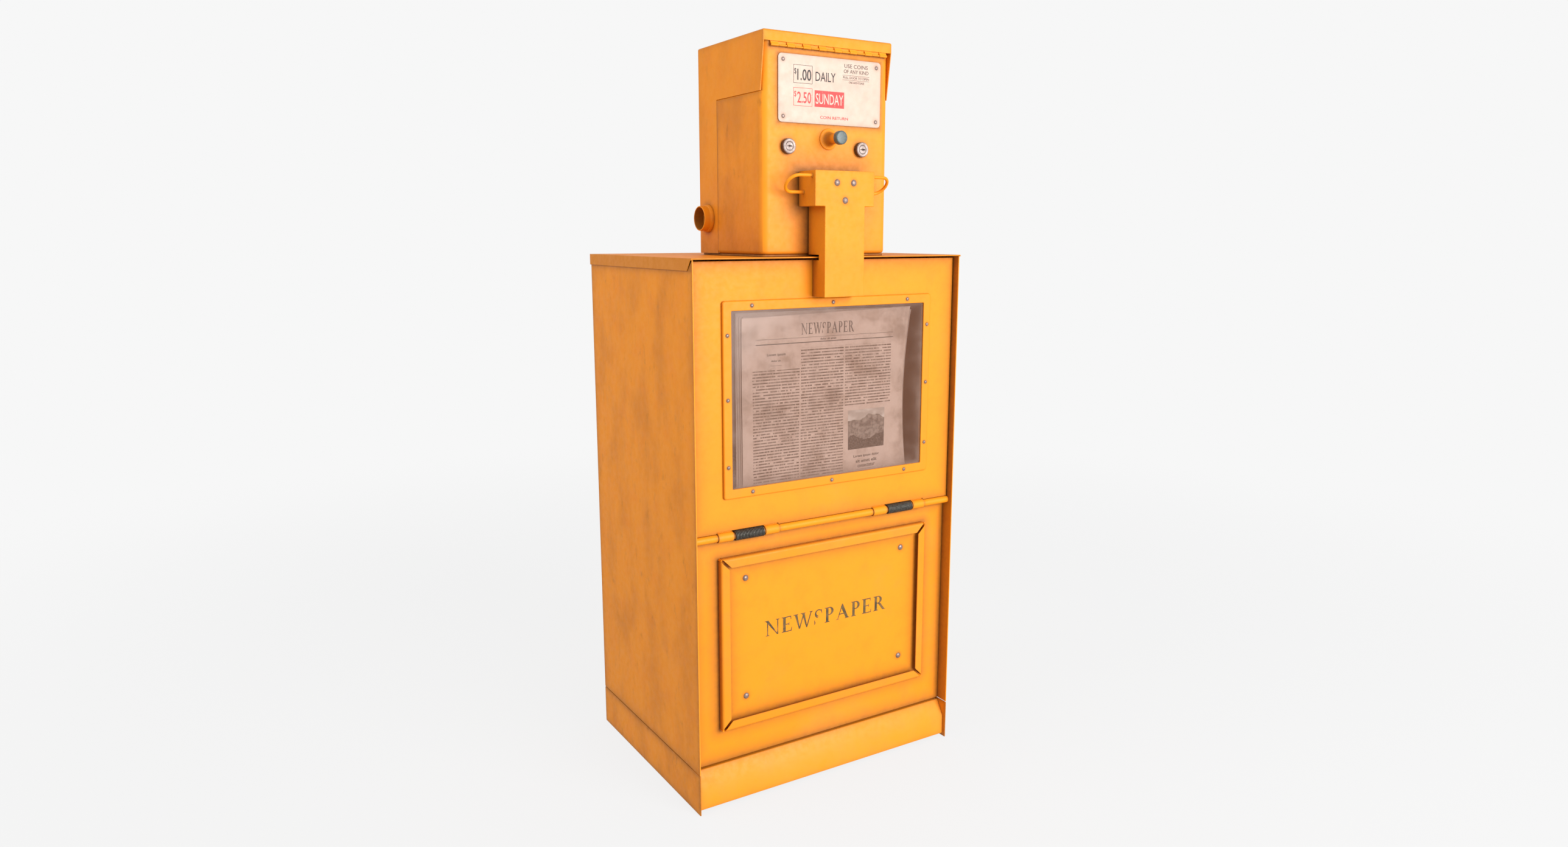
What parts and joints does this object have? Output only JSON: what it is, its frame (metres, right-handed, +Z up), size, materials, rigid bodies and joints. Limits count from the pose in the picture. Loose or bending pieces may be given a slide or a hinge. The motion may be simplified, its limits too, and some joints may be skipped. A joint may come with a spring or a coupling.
{
  "type": "newspaper vending box",
  "caption": "Free-standing sheet-steel newspaper vending box: bottom-hinged windowed door with a T-shaped pull, a card frame below, and a coin box on top.",
  "frame": {"origin": "centre of the bounding box's base, on the ground", "axes": "+Z up; the door faces -Y; +X to the right as seen from the front"},
  "size_m": [0.523, 0.4296, 1.244],
  "materials": {
    "yellow_paint": "weathered semi-gloss yellow enamel, dirt along edges and joints",
    "steel": "worn zinc-plated steel",
    "dark_steel": "dark slate spring steel",
    "dark_plastic": "satin dark slate plastic",
    "clear_pane": "clear tinted sheet",
    "newsprint": "matt newsprint",
    "price_card": "printed off-white plate, stained",
    "galvanised": "galvanised steel"
  },
  "bodies": {
    "cabinet": {"back_panel": "yellow_paint", "base_back_skirt": "yellow_paint", "base_deck": "galvanised", "base_kick_plate": "yellow_paint", "base_skirt_left": "yellow_paint", "base_skirt_right": "yellow_paint", "cabinet_floor": "yellow_paint", "card_plate": "yellow_paint", "card_rail_bottom": "yellow_paint", "card_rail_left": "yellow_paint", "card_rail_right": "yellow_paint", "card_rail_top": "yellow_paint", "cash_tray": "galvanised", "coin_box_cover": "yellow_paint", "coin_box_floor": "yellow_paint", "coin_box_hood": "yellow_paint", "coin_chute": "galvanised", "coin_mechanism": "galvanised", "cover_hinge_lower_leaf": "yellow_paint", "cover_hinge_pin": "steel", "cover_hinge_upper_leaf": "yellow_paint", "door_spring_left": "dark_steel", "door_spring_right": "dark_steel", "hinge_rod": "yellow_paint", "latch_yoke": "galvanised", "lock_body_left": "steel", "lock_body_right": "steel", "lock_guard_tube": "yellow_paint", "lower_front_panel": "yellow_paint", "mechanism_plate": "galvanised", "newspaper_stack": "newsprint", "paper_shelf": "galvanised", "price_plate": "price_card", "return_button_bushing": "yellow_paint", "side_panel_left": "yellow_paint", "side_panel_right": "yellow_paint", "top_cover": "yellow_paint", "vault_lock_body": "steel"},
    "door": {"door_panel": "yellow_paint", "window_frame": "yellow_paint", "window_pane": "clear_pane", "door_knuckle_1": "yellow_paint", "door_knuckle_2": "yellow_paint", "door_knuckle_3": "yellow_paint", "door_knuckle_4": "yellow_paint", "t_handle": "yellow_paint", "pull_loop_left": "yellow_paint", "pull_loop_right": "yellow_paint", "latch_striker": "galvanised", "display_newspaper": "newsprint", "paper_retainer": "galvanised"},
    "left_lock": {"lock_plug_left": "steel", "lock_cam_left": "galvanised"},
    "right_lock": {"lock_plug_right": "steel", "lock_cam_right": "galvanised"},
    "coin_return": {"return_button": "dark_plastic", "return_button_spring": "steel"},
    "vault_lock": {"vault_lock_plug": "steel", "vault_lock_cam": "galvanised"},
    "latch": {"latch_pawl": "galvanised"}
  },
  "joints": [
    {"name": "door_hinge", "type": "hinge", "parent": "cabinet", "child": "door", "pos_m": [0, -0.17525, 0.462], "axis": [1, 0, 0], "range_deg": [0, 95], "stiffness_Nm_per_rad": 7, "springref_deg": -28.65, "deforming": ["door_spring_left", "door_spring_right"]},
    {"name": "left_lock_turn", "type": "hinge", "parent": "cabinet", "child": "left_lock", "pos_m": [-0.0763, -0.16125, 1.073], "axis": [0, 1, 0], "range_deg": [0, 90]},
    {"name": "right_lock_turn", "type": "hinge", "parent": "cabinet", "child": "right_lock", "pos_m": [0.064, -0.16125, 1.073], "axis": [0, 1, 0], "range_deg": [0, 90]},
    {"name": "coin_return_press", "type": "slide", "parent": "cabinet", "child": "coin_return", "axis": [0, 1, 0], "range_m": [0, 0.007], "stiffness_N_per_m": 400, "springref_m": -0.005, "deforming": ["return_button_spring"]},
    {"name": "vault_lock_turn", "type": "hinge", "parent": "cabinet", "child": "vault_lock", "pos_m": [-0.103, 0.02155, 0.964], "axis": [1, 0, 0], "range_deg": [0, 90]},
    {"name": "pawl_swing", "type": "hinge", "parent": "cabinet", "child": "latch", "pos_m": [0, -0.10425, 1.033], "axis": [1, 0, 0], "range_deg": [0, 16]}
  ]
}
